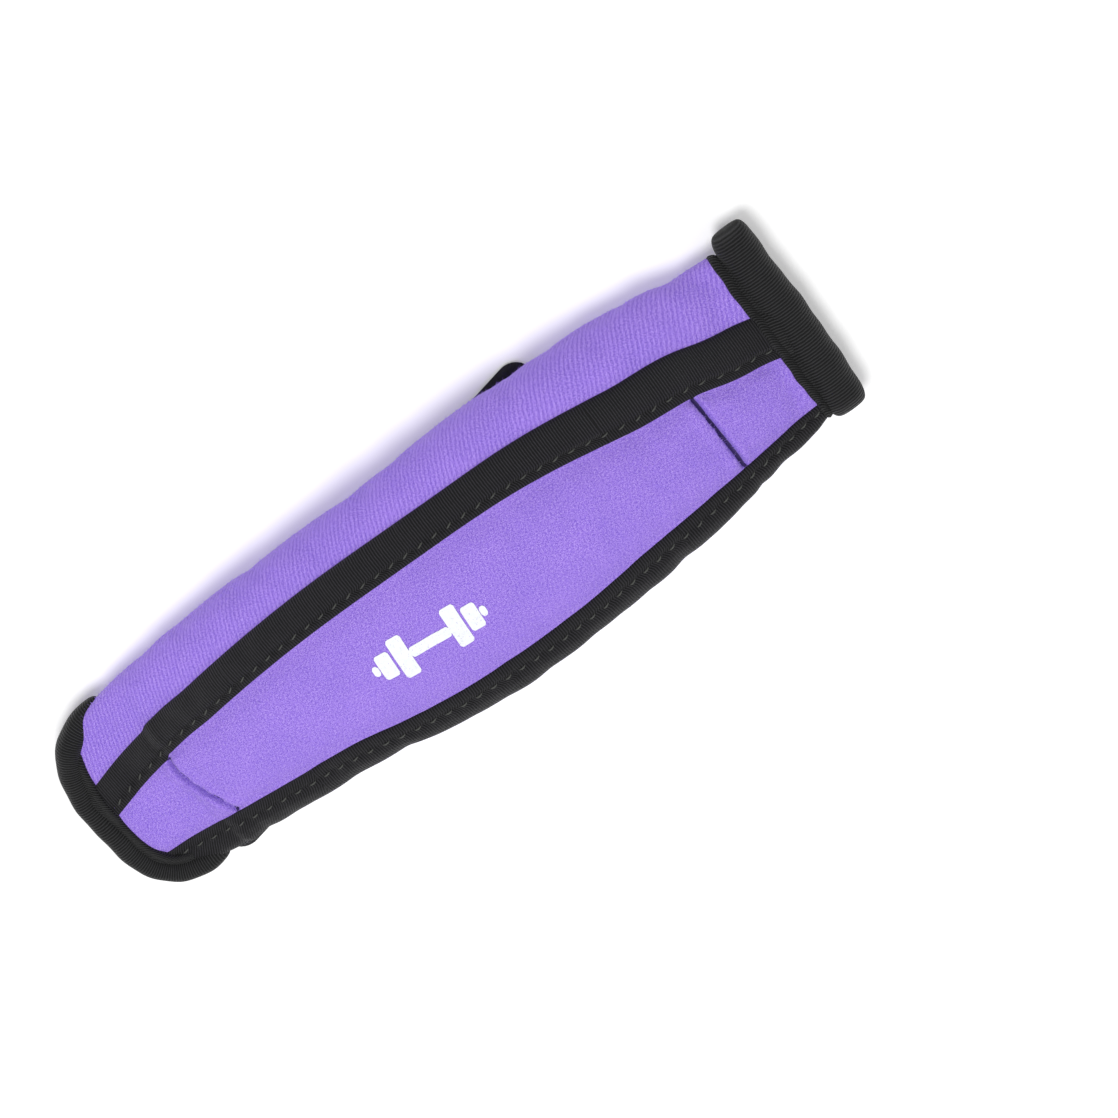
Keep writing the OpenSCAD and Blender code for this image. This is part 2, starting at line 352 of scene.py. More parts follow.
def relief(x, q, y):
    """Height that filling, seams and creases add along the normal."""
    across = np.clip(q - 2, 0, 1)
    on_cover = ((q >= 2) & (q <= 3)) * 1.0
    left, right = left_seam_x(y), right_seam_x(y)
    crown = (1 - (2 * across - 1) ** 2) * on_cover
    h = 0.3 * crown
    # pocket end seams: a narrow crease with a soft roll beside it
    for seam, side in ((left, 1), (right, -1)):
        near = x - seam
        h -= 3.4 * bump(near / 0.85) * on_cover * np.minimum(1, crown * 8)
        h += 1.2 * bump((near - side * 2.6) / 2.2) * np.minimum(1, crown * 3)
        h += 0.7 * bump((near + side * 2.2) / 1.7) * np.minimum(1, crown * 3)
    # the sewn tapes pull the fabric in
    for line in SEWN_Q:
        h -= 0.5 * bump((q - line) / 0.10)
    shoulder = (q < 1) * (1 - np.abs(2 * np.clip(q, 0, 1) - 1) ** 2)
    h += 0.4 * shoulder * ease((x - SEAM_LEFT + 8) / 30) * ease((SEAM_RIGHT + 14 - x) / 30)
    # and the end bindings press it flat
    h -= 0.7 * ease((x - ROLL_X + 3.5) / 3) + 0.5 * ease((LEFT_ROUND_X - 14 - x) / 8)
    # slow unevenness from the loose filling
    filled = ease((x - SEAM_LEFT) / 25) * ease((SEAM_RIGHT - x) / 25)
    wave = np.sin(x / 17.0 + 1.3 * np.sin(q * 1.7)) * np.sin(q * 2.3 + x / 41.0 + 0.6)
    h += 0.35 * filled * wave
    # puckers beside the pocket seams and the end bindings
    pucker = bump((x - left) / 9) + bump((right - x) / 9)
    h += 0.22 * on_cover * pucker * np.sin(2 * np.pi * across * 5 + 1.0) * crown
    edge = bump((x - ROLL_X + 4) / 7) + bump((x - LEFT_ROUND_X + 6) / 8)
    h += 0.22 * edge * np.sin(y / 2.6 + 0.8)
    return h


# Columns of each part in the grid of the cloth simulation
COARSE_COUNTS = (8, 4, 14, 4, 12, 12)
FINE_COUNTS = [n for _, n in PARTS]
XS = station_values(SKIN_STEP)
QS = column_values(FINE_COUNTS)


def build_skin():
    p = base_grid(XS, QS)
    cx, cq = np.arange(LEFT_ROUND_X + 3, ROLL_X, 3.0), column_values(COARSE_COUNTS)
    moved = puff(cx, cq, base_grid(cx, cq))
    size = np.linalg.norm(moved, axis=2, keepdims=True)
    moved *= 0.8 * np.minimum(1, 4.0 / np.maximum(size, 1e-6))
    print("cloth moved, mm: mean", round(float(size.mean()), 2), "max", round(float(size.max()), 2))
    p = p + smooth_columns(to_fine(moved, cx, cq, XS, QS), 8)
    n = normals(p)
    xx, qq = np.meshgrid(XS, QS, indexing="ij")
    h = relief(xx, qq, p[:, :, 1])
    p = p + n * h[:, :, None]
    low = BACK_Z - 0.2
    p[:, :, 2] = np.maximum(p[:, :, 2], low)
    return p, normals(p)


SKIN, SKIN_N = build_skin()


def on_skin(x, q, lift=0.0):
    """Points over the skin at station x and column q, lift above it, with their normals."""
    x, q, lift = np.broadcast_arrays(np.asarray(x, float), np.asarray(q, float) % 6, np.asarray(lift, float))
    i = np.clip(np.interp(x, XS, np.arange(len(XS))), 0, len(XS) - 1.001)
    j = np.interp(q, np.append(QS, 6.0), np.arange(len(QS) + 1))
    i0, j0 = i.astype(int), j.astype(int)
    fi, fj = (i - i0)[..., None], (j - j0)[..., None]
    j0, j1 = j0 % len(QS), (j0 + 1) % len(QS)

    def mix(g):
        return (
            g[i0, j0] * (1 - fi) * (1 - fj)
            + g[i0 + 1, j0] * fi * (1 - fj)
            + g[i0, j1] * (1 - fi) * fj
            + g[i0 + 1, j1] * fi * fj
        )

    n = unit(mix(SKIN_N))
    return mix(SKIN) + n * lift[..., None], n


def skin_q(x, y, under=False):
    """Column of the skin's point that is over (or under) the plan position (x, y)."""
    x, y = np.broadcast_arrays(np.asarray(x, float), np.asarray(y, float))
    qs = np.linspace(4.6, 6.0, 90) if under else np.linspace(0.0, 4.4, 260)
    out = np.zeros(x.shape)
    for k in np.ndindex(x.shape):
        row, _ = on_skin(np.full(len(qs), x[k]), qs)
        ys = row[:, 1] if under else row[::-1, 1]
        out[k] = np.interp(y[k], np.maximum.accumulate(ys), qs if under else qs[::-1])
    return out


# ---------------------------------------------------------------- mesh helpers
def quads(n, m, closed=False):
    i, j = np.meshgrid(np.arange(n - 1), np.arange(m if closed else m - 1), indexing="ij")
    k = (j + 1) % m
    return np.stack([i * m + j, i * m + k, (i + 1) * m + k, (i + 1) * m + j], -1).reshape(-1, 4)


def make_object(name, points, faces, material, uv=None, vertex_normals=None):
    mesh = bpy.data.meshes.new(name)
    points = np.asarray(points, float).reshape(-1, 3)
    faces = [tuple(int(v) for v in f) for f in faces]
    mesh.from_pydata((points * MM).tolist(), [], faces)
    mesh.polygons.foreach_set("use_smooth", np.ones(len(mesh.polygons), bool))
    layer = mesh.uv_layers.new(name="UVMap")
    if uv is not None:
        loops = np.zeros(len(mesh.loops), int)
        mesh.loops.foreach_get("vertex_index", loops)
        layer.data.foreach_set("uv", np.asarray(uv, float).reshape(-1, 2)[loops].astype(np.float32).ravel())
    if vertex_normals is not None:
        mesh.normals_split_custom_set_from_vertices(np.asarray(vertex_normals).reshape(-1, 3).tolist())
    mesh.materials.append(material)
    obj = bpy.data.objects.new(name, mesh)
    bpy.context.scene.collection.objects.link(obj)
    return obj


def capped_tube(p):
    """Points and faces of a closed tube, with a fan over each end."""
    n, m = p.shape[:2]
    faces = [tuple(f) for f in quads(n, m, closed=True)]
    for j in range(m):
        k = (j + 1) % m
        faces.append((n * m, k, j))
        faces.append((n * m + 1, (n - 1) * m + j, (n - 1) * m + k))
    return np.concatenate([p.reshape(-1, 3), p.mean(1)[[0, -1]]]), faces


def bend(obj):
    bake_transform(obj)
    return obj


def run_lengths(p):
    """Distance along each row and column of a grid, for a cloth's UV map in millimetres."""
    u = np.concatenate([np.zeros((1, p.shape[1])), np.cumsum(np.linalg.norm(np.diff(p, axis=0), axis=2), 0)])
    v = np.concatenate(
        [np.zeros((p.shape[0], 1)), np.cumsum(np.linalg.norm(np.diff(p, axis=1), axis=2), 1)], 1
    )
    return u, v


def part_rows(part, xs):
    lo, hi = BENDS[part][:2]
    return np.nonzero((xs >= lo - 1e-6) & (xs <= hi + 1e-6))[0]


# ---------------------------------------------------------------- materials
class Graph:
    """Short ways to add and join shader nodes."""

    def __init__(self, name):
        self.mat = bpy.data.materials.new(name)
        self.mat.use_nodes = True
        self.nodes, self.links = self.mat.node_tree.nodes, self.mat.node_tree.links
        self.bsdf = self.nodes["Principled BSDF"]

    def add(self, kind, **values):
        node = self.nodes.new(kind)
        for key, value in values.items():
            if hasattr(node, key):
                setattr(node, key, value)
            else:
                node.inputs[key.replace("_", " ")].default_value = value
        return node

    def math(self, op, a, b):
        node = self.add("ShaderNodeMath", operation=op)
        for k, v in enumerate((a, b)):
            if isinstance(v, (int, float)):
                node.inputs[k].default_value = v
            else:
                self.links.new(v, node.inputs[k])
        return node.outputs[0]

    def uv(self, turn=0.0):
        tex = self.add("ShaderNodeUVMap", uv_map="UVMap")
        mapping = self.add("ShaderNodeMapping")
        mapping.inputs["Rotation"].default_value = (0, 0, turn)
        self.links.new(tex.outputs["UV"], mapping.inputs["Vector"])
        return mapping.outputs["Vector"]

    def noise(self, vector, scale, detail=2.0, rough=0.5):
        node = self.add("ShaderNodeTexNoise", Scale=scale, Detail=detail, Roughness=rough)
        self.links.new(vector, node.inputs["Vector"])
        return node.outputs["Fac"]

    def wave(self, vector, pitch, direction="X", distortion=0.0, detail_scale=1.0):
        node = self.add("ShaderNodeTexWave", wave_type="BANDS", bands_direction=direction)
        shape = {"Scale": 2 * math.pi / (20 * pitch), "Distortion": distortion, "Detail": 1.0}
        for key, value in {**shape, "Detail Scale": detail_scale}.items():
            node.inputs[key].default_value = value
        self.links.new(vector, node.inputs["Vector"])
        return node.outputs["Fac"]

    def ramp(self, fac, stops):
        node = self.add("ShaderNodeValToRGB")
        elements = node.color_ramp.elements
        while len(elements) < len(stops):
            elements.new(0.5)
        for e, (at, color) in zip(elements, stops):
            e.position, e.color = at, (*color, 1)
        self.links.new(fac, node.inputs["Fac"])
        return node.outputs["Color"]

    def mix(self, fac, a, b, blend="MIX"):
        node = self.add("ShaderNodeMix", data_type="RGBA", blend_type=blend)
        for socket, v in ((0, fac), (6, a), (7, b)):
            if isinstance(v, (int, float)):
                node.inputs[socket].default_value = v
            elif isinstance(v, tuple):
                node.inputs[socket].default_value = (*v, 1)
            else:
                self.links.new(v, node.inputs[socket])
        return node.outputs[2]

    def bumps(self, *layers):
        """Stacks bump layers of (height socket, distance in mm, strength)."""
        normal = None
        for height, distance, strength in layers:
            node = self.add("ShaderNodeBump", Distance=distance * MM, Strength=strength)
            self.links.new(height, node.inputs["Height"])
            if normal is not None:
                self.links.new(normal, node.inputs["Normal"])
            normal = node.outputs["Normal"]
        self.links.new(normal, self.bsdf.inputs["Normal"])

    def color(self, socket):
        self.links.new(socket, self.bsdf.inputs["Base Color"])

    def set(self, **values):
        for key, value in values.items():
            self.bsdf.inputs[key.replace("_", " ")].default_value = value


PURPLE_DEEP = (0.20, 0.11, 0.60)
PURPLE = (0.345, 0.205, 0.82)
PURPLE_PALE = (0.56, 0.40, 0.97)


def fleece_material(name, rib_strength):
    """Brushed loop knit: fine grain everywhere, and slanting ribs where rib_strength is high."""
    g = Graph(name)
    flat = g.uv()
    slant = g.uv(turn=math.radians(-24))
    grain = g.noise(flat, 2.9, 2.0, 0.7)
    loops = g.noise(flat, 1.3, 2.0, 0.6)
    ribs = g.wave(slant, 1.45, "X", 2.2, 1.5)
    cloud = g.noise(flat, 0.05, 3.0, 0.55)
    fuzz = g.math("MULTIPLY", loops, 0.25 - 0.07 * rib_strength)
    tone = g.math("ADD", g.math("MULTIPLY", grain, 0.75), fuzz)
    tone = g.math("ADD", tone, g.math("MULTIPLY", ribs, 0.07 * rib_strength))
    cloth = g.ramp(tone, [(0.39, PURPLE_DEEP), (0.50, PURPLE), (0.61, PURPLE_PALE)])
    worn = g.ramp(cloud, [(0.3, (0.93, 0.93, 0.95)), (0.7, (1.03, 1.02, 1.0))])
    g.color(g.mix(1.0, cloth, worn, "MULTIPLY"))
    g.bumps((loops, 0.2, 0.4), (ribs, 0.2, 0.1 + 0.2 * rib_strength), (grain, 0.2, 0.9))
    g.set(Roughness=0.95, Specular_IOR_Level=0.15)
    g.set(Sheen_Weight=0.35, Sheen_Roughness=0.45, Sheen_Tint=(0.75, 0.68, 1.0, 1))
    return g.mat


def ribbed_material(name, pitch, base, crest_highlight):
    """Ribbed knit tape. The ribs run across the tape, and u runs along it. Its colour paints highlights on
    the rib crests and shade in the grooves between them.
    """
    g = Graph(name)
    flat = g.uv()
    ribs = g.wave(flat, pitch, "X", 0.9, 2.0)
    purl = g.wave(flat, 0.55, "Y", 1.5, 1.0)
    grain = g.noise(flat, 3.0, 2.0, 0.6)
    cloud = g.noise(flat, 0.12, 2.0, 0.5)
    tone = g.math("MULTIPLY", ribs, g.math("ADD", grain, 0.35))
    tone = g.math("ADD", tone, g.math("MULTIPLY", cloud, 0.2))
    # painted light: the ramp runs from the grooves' colour, with painted shade, to a painted highlight on the
    # rib crests
    g.color(g.ramp(tone, [(0.2, base), (1.0, crest_highlight)]))
    g.bumps((purl, 0.1, 0.5), (grain, 0.12, 0.7), (ribs, 0.4, 1.0))
    g.set(Roughness=0.72, Sheen_Weight=0.06, Sheen_Roughness=0.4, Specular_IOR_Level=0.3)
    return g.mat


def strap_material(name):
    g = Graph(name)
    flat = g.uv()
    nap = g.noise(flat, 2.6, 3.0, 0.7)
    weave = g.wave(g.uv(turn=math.radians(45)), 1.1, "X", 1.0, 2.0)
    cloud = g.noise(flat, 0.06, 2.0, 0.5)
    tone = g.math("ADD", g.math("MULTIPLY", nap, 0.7), g.math("MULTIPLY", cloud, 0.3))
    g.color(g.ramp(tone, [(0.3, (0.008, 0.008, 0.009)), (0.75, (0.035, 0.035, 0.038))]))
    g.bumps((weave, 0.1, 0.4), (nap, 0.25, 0.8))
    g.set(Roughness=0.93, Sheen_Weight=0.3, Sheen_Roughness=0.5, Specular_IOR_Level=0.2)
    return g.mat


def hook_material(name):
    """Moulded hook tape: close rows of fine hooks on a glossy base."""
    g = Graph(name)
    flat = g.uv()
    rows = g.wave(flat, 0.9, "Y", 0.2, 1.0)
    hooks = g.wave(flat, 1.3, "X", 0.4, 1.0)
    both = g.math("MULTIPLY", rows, hooks)
    g.color(g.ramp(both, [(0.1, (0.012, 0.013, 0.016)), (0.9, (0.11, 0.11, 0.125))]))
    g.bumps((both, 0.4, 0.8))
    g.set(Roughness=0.38, Specular_IOR_Level=0.5)
    return g.mat


def thread_material(name, color):
    g = Graph(name)
    twist = g.wave(g.uv(turn=math.radians(35)), 0.35, "X", 0.3, 1.0)
    tone = g.ramp(twist, [(0.1, tuple(c * 0.5 for c in color)), (0.9, color)])
    g.color(tone)
    g.bumps((twist, 0.05, 0.7))
    g.set(Roughness=0.6, Specular_IOR_Level=0.4)
    return g.mat


def print_material(name):
    """White transfer print. The knit under it shows through as a faint grain."""
    g = Graph(name)
    flat = g.uv()
    grain = g.noise(flat, 2.1, 3.0, 0.65)
    wear = g.noise(flat, 0.5, 3.0, 0.6)
    tone = g.math("ADD", g.math("MULTIPLY", grain, 0.5), g.math("MULTIPLY", wear, 0.5))
    g.color(g.ramp(tone, [(0.25, (0.80, 0.84, 0.86)), (0.55, (0.93, 0.96, 0.96))]))
    g.bumps((grain, 0.1, 0.35))
    g.set(Roughness=0.55, Specular_IOR_Level=0.35)
    return g.mat


def sand_material(name):
    g = Graph(name)
    spot = g.add("ShaderNodeTexCoord").outputs["Object"]
    grains = g.add("ShaderNodeTexVoronoi")
    grains.inputs["Scale"].default_value = 1400
    g.links.new(spot, grains.inputs["Vector"])
    g.color(g.ramp(grains.outputs["Distance"], [(0.1, (0.16, 0.15, 0.15)), (0.8, (0.03, 0.03, 0.03))]))
    g.bumps((grains.outputs["Distance"], 0.3, 0.8))
    g.set(Roughness=0.5, Metallic=0.6)
    return g.mat


def sackcloth_material(name):
    g = Graph(name)
    flat = g.uv()
    warp, weft = g.wave(flat, 0.7, "X", 0.4), g.wave(flat, 0.7, "Y", 0.4)
    both = g.math("MAXIMUM", warp, weft)
    g.color(g.ramp(both, [(0.2, (0.45, 0.44, 0.40)), (0.9, (0.76, 0.75, 0.70))]))
    g.bumps((both, 0.1, 0.6))
    g.set(Roughness=0.9)
    return g.mat


SHELL_MAT = fleece_material("shell_fleece", 1.0)
COVER_MAT = fleece_material("cover_fleece", 0.25)
# each tape's first colour is its grooves with painted shade, and the second is the painted highlight on its
# rib crests
TAPE_MAT = ribbed_material("binding_tape", 0.95, (0.001, 0.001, 0.0013), (0.032, 0.030, 0.037))
ROLL_MAT = ribbed_material("end_binding_tape", 1.05, (0.001, 0.001, 0.0012), (0.034, 0.034, 0.036))
STRAP_MAT = strap_material("strap_cloth")
HOOK_MAT = hook_material("hook_tape")
THREAD_MAT = thread_material("thread", (0.085, 0.088, 0.08))
# the seam strip's dark purple is partly the thread's colour and partly painted shade in the crease
SEAM_THREAD_AND_SHADE_MAT = thread_material("seam_thread_and_shade", (0.075, 0.045, 0.19))
PRINT_MAT = print_material("white_print")
SAND_MAT = sand_material("iron_sand")
SACK_MAT = sackcloth_material("sack_cloth")


# ---------------------------------------------------------------- skin, sack and sand
def skin_columns(first, last):
    """Indices of the grid's columns from q=first round to q=last."""
    m = len(QS)
    a = int(round(np.interp(first, QS, np.arange(m))))
    b = int(round(np.interp(last, QS, np.arange(m))))
    return np.arange(a, b + 1) if b > a else np.arange(a, b + 1 + m) % m


def skin_piece(name, part, cols, material, edge):
    """Part of the skin. Its weave is laid out from one edge: 0 the first column, -1 the last."""
    rows = part_rows(part, XS)
    p = SKIN[np.ix_(rows, cols)]
    _, v = run_lengths(SKIN[:, cols])
    v = v - v[:, [edge]]
    uv = np.stack([SKIN[np.ix_(rows, cols)][..., 0], v[rows]], -1)
    n = SKIN_N[np.ix_(rows, cols)]
    obj = make_object(f"{name}_{part}", p, quads(len(rows), len(cols)), material, uv, n)
    return bend(obj)


def inner_piece(name, part, inset, material):
    """Closed tube inside the skin, for the sack and the sand."""
    lo, hi = SEAM_LEFT + 4, SEAM_RIGHT - 4
    rows = [r for r in part_rows(part, XS)[::4] if lo < XS[r] < hi]
    stations = np.unique(np.concatenate([XS[rows], np.clip(BENDS[part][:2], lo, hi)]))
    p = np.array([on_skin(np.full(60, x), np.linspace(0, 6, 61)[:-1], -inset)[0] for x in stations])
    points, faces = capped_tube(p)
    u, v = run_lengths(p)
    uv = np.concatenate([np.stack([u, v], -1).reshape(-1, 2), np.zeros((2, 2))])
    obj = make_object(f"{name}_{part}", points, faces, material, uv)
    return bend(obj)


def replace_section(prefix, part):
    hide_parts(*[f"{prefix}_{s}" for s in SECTION_NODES[part] if f"{prefix}_{s}" in frame["nodes"]])


def build_skin_pieces():
    shell_cols = skin_columns(3.6, 1.35)
    cover_cols = skin_columns(1.7, 3.35)
    for part in BENDS:
        shell = skin_piece("shell_cloth", part, shell_cols, SHELL_MAT, -1)
        replace_section("shell", part)
        cover = skin_piece("cover_cloth", part, cover_cols, COVER_MAT, 0)
        replace_section("cover", part)
        sack = inner_piece("sack_cloth", part, 4.2, SACK_MAT)
        sand = inner_piece("sand_fill", part, 5.0, SAND_MAT)
        if part != "left_end":
            replace_section("sack", part)
            replace_section("sand", part)


# ---------------------------------------------------------------- tapes and their stitches
# Height of a tape above the fabric, from its outer edge to the stitched edge
TAPE_PROFILE = np.array(
    [(0, -0.7), (0.012, 0.35), (0.035, 0.95), (0.09, 1.35), (0.22, 1.6), (0.42, 1.68), (0.60, 1.5),
     (0.68, 1.2), (0.73, 0.72), (0.765, 0.5), (0.80, 0.68), (0.86, 1.0), (0.93, 0.98),
     (0.972, 0.72), (0.99, 0.3), (1.0, -0.7)]
)
STITCH_AT = 0.765


def tape_q(across, upper):
    """Column of a point across a tape; the stitched edge is the one towards the pocket."""
    return 1 + across if upper else 4 - across


TAPE_ENDS = (LEFT_ROUND_X - LEFT_ROUND_L + LEFT_RIM_W - 2.5, ROLL_X - 1.0)


def end_ease(x):
    """1 along the cuff, falling where a tape is flattened under an end binding."""
    return 1 - 0.6 * ease((x - ROLL_X + 9) / 8) - 0.6 * ease((LEFT_ROUND_X - 10 - x) / 10)


def tape_lift(x, across):
    h = np.interp(across, TAPE_PROFILE[:, 0], TAPE_PROFILE[:, 1])
    h = np.where(h > 0, h * end_ease(x), h)
    near = bump((across - STITCH_AT) / 0.07)
    h = h - 0.28 * near * np.cos(2 * np.pi * x / STITCH_PITCH)
    h = h + 0.06 * np.sin(x / 3.1 + across * 3) * (across > 0.05) * (across < 0.95)
    fold = bump((x - (SEAM_LEFT - 4.2)) / 1.5) - 0.8 * bump((x - (SEAM_LEFT - 1.2)) / 2.0)
    return h - 0.6 * fold * (across > 0.02) * (across < 0.98)


def over_tapes(x, q):
    """Height of whichever tape lies at a place on the skin, softened at its edges."""
    h = 0
    for shift in np.linspace(-0.06, 0.06, 5):
        qq = q + shift
        on_upper, on_lower = (qq > 1) & (qq < 2), (qq > 3) & (qq < 4)
        across = np.where(on_upper, qq - 1, np.where(on_lower, 4 - qq, 0.0))
        h = h + np.maximum(0, tape_lift(x, across)) * (on_upper | on_lower)
    return h / 5


def tape_piece(name, part, upper):
    first, last = TAPE_ENDS
    lo, hi = max(BENDS[part][0], first), min(BENDS[part][1], last)
    xs = np.linspace(lo, hi, int((hi - lo) / 0.7) + 2)
    across = TAPE_PROFILE[:, 0]
    across = np.unique(np.concatenate([across, np.linspace(0.1, 0.9, 12)]))
    xx, aa = np.meshgrid(xs, across, indexing="ij")
    p, _ = on_skin(xx, tape_q(aa, upper), tape_lift(xx, aa))
    if not upper:
        p = p[:, ::-1]
    u, v = run_lengths(p)
    uv = np.stack([u + lo, v], -1)
    obj = make_object(f"{name}_tape_{part}", p, quads(*p.shape[:2]), TAPE_MAT, uv)
    bend(obj)
    replace_section(f"{name}_binding", part)
    return obj


def stitch_mesh(centres, along, up, length, radius, arch):
    """Short threads, each sinking into the cloth at both ends."""
    rings, sides = 7, 6
    t = np.linspace(-1, 1, rings)
    a = np.linspace(0, 2 * np.pi, sides, endpoint=False)
    side = unit(np.cross(up, along))
    points, faces, uv = [], [], []
    for k in range(len(centres)):
        base = k * rings * sides
        for ti in t:
            middle = centres[k] + along[k] * ti * length / 2 + up[k] * arch * (1 - 1.9 * ti * ti)
            r = radius * (1 - 0.45 * ti**4)
            for aj in a:
                points.append(middle + r * (math.cos(aj) * side[k] + math.sin(aj) * up[k]))
                uv.append((ti * length / 2, aj * radius))
        faces += [tuple(base + f) for f in quads(rings, sides, closed=True)]
        faces.append(tuple(base + s for s in range(sides)))
        faces.append(tuple(base + (rings - 1) * sides + s for s in reversed(range(sides))))
    return np.array(points), faces, np.array(uv)


def stitch_row(name, part, upper):
    first, last = TAPE_ENDS
    lo, hi = max(BENDS[part][0], first + 3), min(BENDS[part][1], last - 2)
    k = np.arange(math.ceil((lo / STITCH_PITCH) - 0.5), math.floor((hi / STITCH_PITCH) - 0.5) + 1)
    xs = (k + 0.5) * STITCH_PITCH
    xs = xs[(xs > lo) & (xs < hi)]
    across = np.full(len(xs), STITCH_AT)
    q = tape_q(across, upper)
    centre, up = on_skin(xs, q, tape_lift(xs, across) + 0.12)
    ahead, _ = on_skin(xs + 1.0, q, 1.0)
    behind, _ = on_skin(xs - 1.0, q, 1.0)
    along = unit(ahead - behind)
    lean = np.cross(up, along)
    turn = np.radians((20 if upper else 12) + 5 * rng.standard_normal(len(xs)))[:, None]
    along = along * np.cos(turn) + lean * np.sin(turn)
    points, faces, uv = stitch_mesh(centre, along, up, 2.5, 0.33, 0.22)
    obj = make_object(f"{name}_{part}", points, faces, THREAD_MAT, uv)
    return bend(obj)


def build_pocket_seams():
    """The folded cloth at the bottom of each pocket seam, closed with thread. Its dark colour is partly the
    thread's own and partly painted shade of the crease.
    """
    across = np.linspace(2.0, 3.0, 90)
    for side, seam, part in (("left", left_seam_x, "left_end"), ("right", right_seam_x, "right_end")):
        x = np.full(len(across), seam(0.0))
        for _ in range(3):
            x = seam(on_skin(x, across)[0][:, 1])
        fold = ((-0.75, -0.5), (-0.3, 0.35), (0.3, 0.35), (0.75, -0.5))
        p = np.array([on_skin(x + d, across, lift)[0] for d, lift in fold])
        u, v = run_lengths(p)
        obj = make_object(f"pocket_seam_{side}", p, quads(*p.shape[:2]), SEAM_THREAD_AND_SHADE_MAT, np.stack([v, u], -1))
        bend(obj)


def build_tapes():
    for part in BENDS:
        tape_piece("upper", part, True)
        tape_piece("lower", part, False)
        stitch_row("upper_stitches", part, True)
        stitch_row("lower_stitches", part, False)


# ---------------------------------------------------------------- end bindings
def roll_profile(width, height):
    """Cross-section of a rolled binding as (depth from its outer edge, height above middle)."""
    a = np.radians(np.linspace(-180, 180, 57)[:-1])
    n = 2.35
    depth = width / 2 - width / 2 * oval(np.cos(a), n)
    z = height / 2 * oval(np.sin(a), n)
    return np.stack([depth, z], 1)


def sweep_binding(name, body, nodes, path, inward, width, heights, taper_len, wobble_seed, tuck=0.0):
    """Sweeps the rolled profile along a path in plan; inward points to the cuff's middle."""
    z_low, z_high = heights
    prof = roll_profile(width, z_high - z_low)
    z_mid = (z_low + z_high) / 2
    seg = distance_along(path)
    total = seg[-1]
    local = np.random.default_rng(wobble_seed)
    phase = local.uniform(0, 6, 4)
    rows = []
    for k in range(len(path)):
        s = seg[k]
        end = min(s, total - s) / taper_len
        round_off = (1 - (1 - min(1, end)) ** 2.4) ** (1 / 2.4)
        round_off = max(round_off, 0.03)
        wob = 0.16 * math.sin(s / 4.1 + phase[0]) + 0.12 * math.sin(s / 1.9 + phase[1])
        wide = 1 + 0.025 * math.sin(s / 6.0 + phase[2])
        d = prof[:, 0] * wide + wob
        z = prof[:, 1] * round_off * (1 + 0.015 * math.sin(s / 5.0 + phase[3]))
        z = np.where(z > 0, z * (1 - tuck * (1 - float(ease(s / 26)))), z)
        middle = width * 0.45
        d = middle + (d - middle) * (0.55 + 0.45 * round_off)
        rows.append(
            np.stack(
                [path[k, 0] + inward[k, 0] * d, path[k, 1] + inward[k, 1] * d, z_mid + z], 1
            )
        )
    p = np.array(rows)
    n, m = p.shape[:2]
    u = np.repeat(seg[:, None], m, 1)
    v = distance_along(prof)
    uv = np.stack([u, np.repeat(v[None], n, 0)], -1).reshape(-1, 2)
    uv = np.concatenate([uv, np.zeros((2, 2))])
    points, faces = capped_tube(p)
    obj = make_object(name, points, faces, ROLL_MAT, uv)
    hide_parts(*nodes)
    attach(obj, body)
    return obj


# Cross-section of a lip as (part of its width, height above the fabric)
FLANGE = np.array(
    [(-0.15, -0.9), (0.0, 0.0), (0.04, 0.55), (0.12, 0.9), (0.3, 1.05), (0.5, 1.05),
     (0.68, 0.92), (0.8, 0.6), (0.88, 0.35), (1.0, 0.35), (1.3, 0.3), (1.9, 0.1)]
)


def flange_right():
    """The binding's inner lip, which lies on the fabric all round the tab."""
    q = np.linspace(0, 6, 361)[:-1]
    first, width = ROLL_X - 3.4, 3.6
    x = first + FLANGE[:, 0] * width
    xx, qq = np.meshgrid(x, q, indexing="ij")
    past_edge = ease((FLANGE[:, 0] + 0.05) / 0.12)[:, None]
    lift = FLANGE[:, 1][:, None] + over_tapes(xx, qq) * past_edge
    lift = np.where(qq > 4.3, lift * 0.45, lift)
    wob = 0.18 * np.sin(qq * 7.0) + 0.12 * np.sin(qq * 17.0 + 1)
    p, _ = on_skin(xx + wob, qq, lift)
    u, v = run_lengths(p)
    uv = np.stack([v, u], -1)
    faces = quads(*p.shape[:2], closed=True)
    obj = make_object("end_binding_right_lip", p, faces, ROLL_MAT, uv)
    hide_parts("end_binding_right")
    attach(obj, "right_tab")


def flange_left(path, inward, inner, width, under):
    """The same lip on the rounded left end, over or under the tab. It sinks in at both ends."""
    rows = []
    s = np.linspace(0, 1, len(path))
    sink = 2.4 * (1 - ease(s / 0.10)) + 2.2 * (1 - ease((1 - s) / 0.06))
    for depth, lift in FLANGE:
        d = inner - depth * width - 2.2 * (1 - ease(s / 0.22))
        xy = path + inward * d[:, None]
        xs = np.clip(xy[:, 0], XS[0] + 0.3, XS[-1])
        q = skin_q(xs, xy[:, 1], under)
        total = lift * 0.35 - sink
        if not under:
            total = lift + over_tapes(xs, q) * ease((depth + 0.05) / 0.12) - sink
        p, _ = on_skin(xs, q, total)
        p[:, :2] = xy
        if not under:
            p[:, 2] = np.maximum(p[:, 2], TAB_TOP_Z - 0.4 + total)
        rows.append(p)
    p = np.array(rows)
    u, v = run_lengths(p)
    obj = make_object("end_binding_left_lip_" + ("back" if under else "front"), p,
                      quads(*p.shape[:2])[:, ::1 if under else -1], ROLL_MAT, np.stack([v, u], -1))
    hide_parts("end_binding_left")
    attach(obj, "left_tab")


